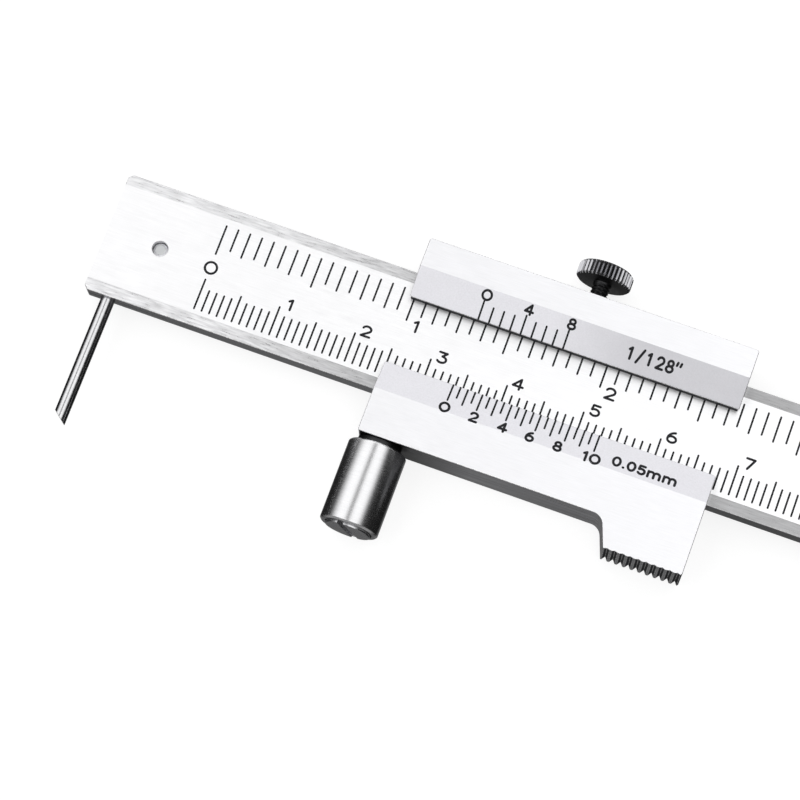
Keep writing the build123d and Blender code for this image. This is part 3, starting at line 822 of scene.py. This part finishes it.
class GAUGE_OT_lock_screw(bpy.types.Operator):
    """Build the lock screw with its straight-knurled head"""
    bl_idname = "marking_gauge.lock_screw"
    bl_label = "Lock screw"

    shank_radius = 1.15
    thread_pitch = 0.45
    thread_depth = 0.2
    steps_per_turn = 8
    head_height = 2.0
    chamfer = 0.3
    thread_margin = 0.3
    dish_radius = 2.2
    dish_middle = 0.5
    dish_depth = 0.08
    points_per_ridge = 8
    dark_valley = 0.55      # part of the knurl's depth below which the valleys are painted black as painted shade

    def execute(self, context):
        sizes = context.scene.gauge_sizes
        depth = sizes.knurl_depth / MM
        low, high = gauge_place(LOCK_LOW), gauge_place(LOCK_HIGH)
        x, z, radius = round_box(low, high)
        top, under = high.y, high.y - self.head_height
        inner = radius - self.chamfer
        r = self.shank_radius
        dish = top - self.dish_depth
        thread_start, thread_end = low.y + self.thread_margin, under - self.thread_margin
        count = round((thread_end - thread_start) / self.thread_pitch * self.steps_per_turn)
        threads = [
            (thread_start + (thread_end - thread_start) * k / count, r, 0, 1) for k in range(count + 1)
        ]
        # Finish 1 on the shank and the underside of the head is black painted as shade
        profile = [
            (low.y, r - 0.25, 0, 1), (low.y + 0.2, r - 0.05, 0, 1), *threads,
            (under - 0.12, r, 0, 1), (under - 0.03, r + 0.04, 0, 1), (under, r + 0.14, 0, 1),
            (under, inner - 0.12, 0, 1), (under + 0.02, inner, 0, 0),
            (under + self.chamfer - 0.04, radius - 0.03, depth * 0.85, 0),
            (under + self.chamfer + 0.06, radius, depth, 0),
            (top - self.chamfer - 0.06, radius, depth, 0),
            (top - self.chamfer + 0.04, radius - 0.03, depth * 0.85, 0),
            (top - 0.02, inner, 0, 2), (top, inner - 0.08, 0, 2),
            (top, self.dish_radius, 0, 2), (dish, self.dish_radius - 0.1, 0, 2), (dish, self.dish_middle, 0, 2),
        ]
        mesh = turned_mesh(
            "lock_screw_knurled", profile, sizes.knurl_ridges * self.points_per_ridge, x, z,
            ridges=sizes.knurl_ridges)
        self.cut_thread(mesh, x, z, thread_start, thread_end)
        # The knurl's valleys are painted black: painted shade in the hollows
        valley = radius - depth * self.dark_valley
        for face in mesh.polygons:
            place = gauge_place(face.center)
            if face.material_index == 0 and math.hypot(place.x - x, place.z - z) < valley:
                face.material_index = 1
        piece = new_piece("lock_screw_knurled", mesh, ["knurl_chrome", "black_oxide", "turned_steel"])
        hand_over(piece, "lock_screw_unit", "lock_screw")
        return {"FINISHED"}

    def cut_thread(self, mesh, x, z, start, end):
        """Sinks a helical V groove into the shank between two places on its axis."""
        for vertex in mesh.vertices:
            place = gauge_place(vertex.co)
            out = Vector((place.x - x, place.z - z))
            if not start < place.y < end or out.length > self.shank_radius + 0.01:
                continue
            turn = math.atan2(out.x, out.y) / (2 * math.pi)
            phase = (place.y / self.thread_pitch - turn) % 1.0
            keep = 1 - self.thread_depth * (1 - abs(phase - 0.5) * 2) / self.shank_radius
            vertex.co = at(x + out.x * keep, place.y, z + out.y * keep)


class GAUGE_OT_roller(bpy.types.Operator):
    """Build the guide roller, its shoulder screw and its spacer"""
    bl_idname = "marking_gauge.roller"
    bl_label = "Guide roller"

    segments = 128
    bore_radius = 2.03
    counterbore_radius = 3.05
    counterbore_depth = 1.2

    def execute(self, context):
        low, high = gauge_place(ROLLER_LOW), gauge_place(ROLLER_HIGH)
        x, z, radius = round_box(low, high)
        end, top = low.y, high.y
        bore, counter = self.bore_radius, self.counterbore_radius
        counter_floor = end + self.counterbore_depth
        profile = [
            (end, counter + 0.06, 0, 1), (end, radius - 0.28, 0, 2), (end + 0.03, radius - 0.22, 0, 2),
            (end + 0.22, radius - 0.03, 0, 2), (end + 0.3, radius, 0, 0),
            (top - 0.3, radius, 0, 2), (top - 0.22, radius - 0.03, 0, 2),
            (top - 0.03, radius - 0.22, 0, 2), (top, radius - 0.28, 0, 1),
            (top, bore + 0.08, 0, 2), (top - 0.08, bore, 0, 1),
            (counter_floor, bore, 0, 1), (counter_floor, counter, 0, 1),
            (end + 0.06, counter, 0, 2),
        ]
        mesh = turned_mesh("guide_roller_turned", profile, self.segments, x, z, hollow=True)
        roller = new_piece("guide_roller_turned", mesh, ["turned_steel", "faced_steel", "worn_edge"])
        hand_over(roller, "roller_unit", "guide_roller")
        axle = machined_piece(
            "roller_axle_slotted", "roller_axle_screw", ["faced_steel", "turned_steel"],
            lambda normal, middle: 0 if abs(normal.y) > 0.9 else 1, "faced_steel")
        hand_over(axle, "slider_unit", "roller_axle_screw")
        # The spacer is painted black as painted shade: it stands in for the dark gap under the slider
        spacer = machined_piece(
            "roller_spacer_ring", "roller_spacer", ["black_oxide"], edge_finish="black_oxide")
        hand_over(spacer, "slider_unit", "roller_spacer")
        return {"FINISHED"}


class GAUGE_OT_scriber(bpy.types.Operator):
    """Build the carbide needle with its one-sided grind, and its clamp screw"""
    bl_idname = "marking_gauge.scriber"
    bl_label = "Scriber"

    segments = 72
    grind = 1.45            # length of the one-sided grind along the needle

    def execute(self, context):
        low, high = gauge_place(SCRIBER_LOW), gauge_place(SCRIBER_HIGH)
        x, z, radius = round_box(low, high)
        profile = [
            (low.y, radius, 0, 0), (low.y + self.grind, radius, 0, 0),
            (high.y - 0.22, radius, 0, 0), (high.y - 0.16, radius - 0.02, 0, 0),
            (high.y - 0.02, radius - 0.16, 0, 0), (high.y, radius - 0.22, 0, 0),
        ]
        mesh = turned_mesh("scriber_needle", profile, self.segments, x, z)
        shape = bmesh.new()
        shape.from_mesh(mesh)
        slope = Vector((self.grind, 2 * radius, 0)).normalized()
        cut = bmesh.ops.bisect_plane(
            shape, geom=[*shape.verts, *shape.edges, *shape.faces], dist=1e-8,
            plane_co=at(x + radius, low.y, z), plane_no=slope, clear_inner=True)
        rim = [e for e in cut["geom_cut"] if isinstance(e, bmesh.types.BMEdge)]
        ground = bmesh.ops.contextual_create(shape, geom=rim)
        for face in ground["faces"]:
            face.material_index = 1
        bmesh.ops.recalc_face_normals(shape, faces=shape.faces)
        shape.to_mesh(mesh)
        shape.free()
        needle = new_piece("scriber_needle", mesh, ["carbide_ground", "worn_edge"])
        hand_over(needle, "scriber_unit", "scriber")
        screw = machined_piece(
            "scriber_clamp_screw_slotted", "scriber_clamp_screw", ["plain_steel", "satin_flats"],
            lambda normal, middle: 1 if 0.3 < normal.z < 0.95 else 0, "plain_steel")
        hand_over(screw, "clamp_screw_unit", "scriber_clamp_screw")
        return {"FINISHED"}


class GAUGE_OT_stop_screw(bpy.types.Operator):
    """Build the stop screw at the far end of the beam"""
    bl_idname = "marking_gauge.stop_screw"
    bl_label = "Stop screw"

    def execute(self, context):
        screw = machined_piece("beam_stop_screw_slotted", "beam_stop_screw", ["plain_steel"])
        hand_over(screw, "beam_unit", "beam_stop_screw")
        return {"FINISHED"}


# ---------------------------------------------------------------- stage

def window(tree, value, low, high, soft):
    """1 between two limits and 0 outside them, with soft ends."""
    rise = node(
        tree, "ShaderNodeMapRange", {"Value": value, "From Min": low - soft, "From Max": low + soft},
        interpolation_type="SMOOTHSTEP")
    fall = node(
        tree, "ShaderNodeMapRange",
        {"Value": value, "From Min": high - soft, "From Max": high + soft, "To Min": 1.0, "To Max": 0.0},
        interpolation_type="SMOOTHSTEP")
    return multiply(tree, rise.outputs["Result"], fall.outputs["Result"])


class GAUGE_OT_stage(bpy.types.Operator):
    """Make the pale floor, the overhead softboxes and the camera"""
    bl_idname = "marking_gauge.stage"
    bl_label = "Stage"

    camera_place = at(78.691, -87.833, 346.648)
    camera_aim = at(41.666, 1.003, -4.95)
    camera_roll = math.radians(2.6647)
    floor_half = 4.0
    floor_steps = 24
    floor_glow = 0.82
    # Limits and softness in degrees from the zenith: across leans towards the beam's far end,
    # along towards its upper edge
    left_box_across = ((-66, 90, 20), (-170, -15, 7))
    right_box_across = ((-3, 170, 6), (-90, 40, 12))
    boxes_along = (-58, 84, 16)
    # Limits and softness in parts of the direction's length
    horizon_heights = (-0.7, 0.3, 0.15)
    horizon_sides = (0.5, 2.0, 0.2)
    under_heights = (-2.0, -0.86, 0.06)
    horizon_strength = 0.36
    under_strength = 0.22
    fill_strength = 0.012
    backdrop = (0.95, 0.95, 0.96, 1.0)

    def execute(self, context):
        settings = context.scene.gauge_stage
        self.make_floor(settings)
        self.make_sky(context.scene, settings)
        camera = bpy.data.objects.new("stage_camera", bpy.data.cameras.new("stage_camera"))
        camera.data.lens = settings.lens
        camera.data.sensor_width = 36.0
        camera.data.clip_start, camera.data.clip_end = 0.01, 20.0
        camera.location = self.camera_place
        camera.rotation_mode = "QUATERNION"
        looking = (self.camera_aim - self.camera_place).to_track_quat("-Z", "Y")
        camera.rotation_quaternion = looking @ Quaternion((0, 0, 1), -self.camera_roll)
        context.scene.collection.objects.link(camera)
        context.scene.camera = camera
        context.scene.view_settings.view_transform = "Standard"
        return {"FINISHED"}

    def make_floor(self, settings):
        """A wide pale floor that glows a little and that steel doesn't mirror."""
        shape = bmesh.new()
        bmesh.ops.create_grid(
            shape, x_segments=self.floor_steps, y_segments=self.floor_steps, size=self.floor_half)
        mesh = mesh_of(shape, "stage_floor")
        material, tree, surface = blank_finish("stage_floor")
        patches = grain(tree, (3, 3, 3), detail=2.0)
        tree.links.new(shaded(tree, settings.floor_colour, patches, 0.98, 1.0), surface.inputs["Base Color"])
        surface.inputs["Roughness"].default_value = 0.9
        surface.inputs["Emission Color"].default_value = (1, 1, 1, 1)
        surface.inputs["Emission Strength"].default_value = self.floor_glow
        mesh.materials.append(material)
        floor = bpy.data.objects.new("stage_floor", mesh)
        floor.visible_glossy = False
        bpy.context.scene.collection.objects.link(floor)

    def make_sky(self, scene, settings):
        """A plain backdrop for the camera, and two soft overhead boxes with a dim horizon for all else."""
        world = bpy.data.worlds.new("stage_sky")
        scene.world = world
        world.use_nodes = True
        tree = world.node_tree
        tree.nodes.clear()
        direction = node(tree, "ShaderNodeTexCoord").outputs["Generated"]
        axes = node(tree, "ShaderNodeSeparateXYZ", {"Vector": direction})
        x, y, z = (axes.outputs[k] for k in "XYZ")
        across = node(tree, "ShaderNodeMath", {0: x, 1: z}, operation="ARCTAN2").outputs["Value"]
        along = node(tree, "ShaderNodeMath", {0: y, 1: z}, operation="ARCTAN2").outputs["Value"]

        def arc_window(angle, degrees):
            return window(tree, angle, *(math.radians(limit) for limit in degrees))

        left_box = multiply(tree, *(arc_window(across, limits) for limits in self.left_box_across))
        right_box = multiply(tree, *(arc_window(across, limits) for limits in self.right_box_across))
        boxes = multiply(tree, plus(tree, left_box, right_box), arc_window(along, self.boxes_along))
        sideways = node(tree, "ShaderNodeMath", {0: y}, operation="ABSOLUTE").outputs["Value"]
        horizon = multiply(
            tree, window(tree, z, *self.horizon_heights), window(tree, sideways, *self.horizon_sides))
        under = window(tree, z, *self.under_heights)
        low_light = plus(
            tree, multiply(tree, horizon, self.horizon_strength), multiply(tree, under, self.under_strength))
        light = plus(tree, multiply(tree, boxes, settings.key_strength), low_light)
        light = plus(tree, light, self.fill_strength)
        seen = node(tree, "ShaderNodeLightPath").outputs["Is Camera Ray"]
        lit = node(tree, "ShaderNodeBackground", {"Strength": light})
        pale = node(tree, "ShaderNodeBackground", {"Color": self.backdrop, "Strength": 1.0})
        mixed = node(
            tree, "ShaderNodeMixShader",
            {0: seen, 1: lit.outputs["Background"], 2: pale.outputs["Background"]})
        node(tree, "ShaderNodeOutputWorld", {"Surface": mixed.outputs["Shader"]})


# ---------------------------------------------------------------- panel and registration

OPERATORS = (
    GAUGE_OT_beam, GAUGE_OT_beam_scales, GAUGE_OT_slider, GAUGE_OT_verniers, GAUGE_OT_rear_cover,
    GAUGE_OT_gib, GAUGE_OT_lock_screw, GAUGE_OT_roller, GAUGE_OT_scriber, GAUGE_OT_stop_screw, GAUGE_OT_stage,
)


class GAUGE_PT_panel(bpy.types.Panel):
    """Sidebar panel with the gauge's pieces, sizes and colours"""
    bl_label = "Marking Gauge"
    bl_idname = "GAUGE_PT_panel"
    bl_space_type = "VIEW_3D"
    bl_region_type = "UI"
    bl_category = "Marking Gauge"

    def draw(self, context):
        column = self.layout.column()
        for group in (context.scene.gauge_sizes, context.scene.gauge_colours, context.scene.gauge_stage):
            for name in type(group).__annotations__:
                column.prop(group, name)
        for operator in OPERATORS:
            column.operator(operator.bl_idname)


GROUPS = (GaugeSizes, GaugeColours, StageSettings)


def register():
    for each in (*GROUPS, *OPERATORS, GAUGE_PT_panel):
        bpy.utils.register_class(each)
    bpy.types.Scene.gauge_sizes = PointerProperty(type=GaugeSizes)
    bpy.types.Scene.gauge_colours = PointerProperty(type=GaugeColours)
    bpy.types.Scene.gauge_stage = PointerProperty(type=StageSettings)


def unregister():
    del bpy.types.Scene.gauge_stage
    del bpy.types.Scene.gauge_colours
    del bpy.types.Scene.gauge_sizes
    for each in reversed((*GROUPS, *OPERATORS, GAUGE_PT_panel)):
        bpy.utils.unregister_class(each)


def main():
    register()
    for operator in OPERATORS:
        group, name = operator.bl_idname.split(".")
        getattr(getattr(bpy.ops, group), name)()


if __name__ == "__main__":
    main()
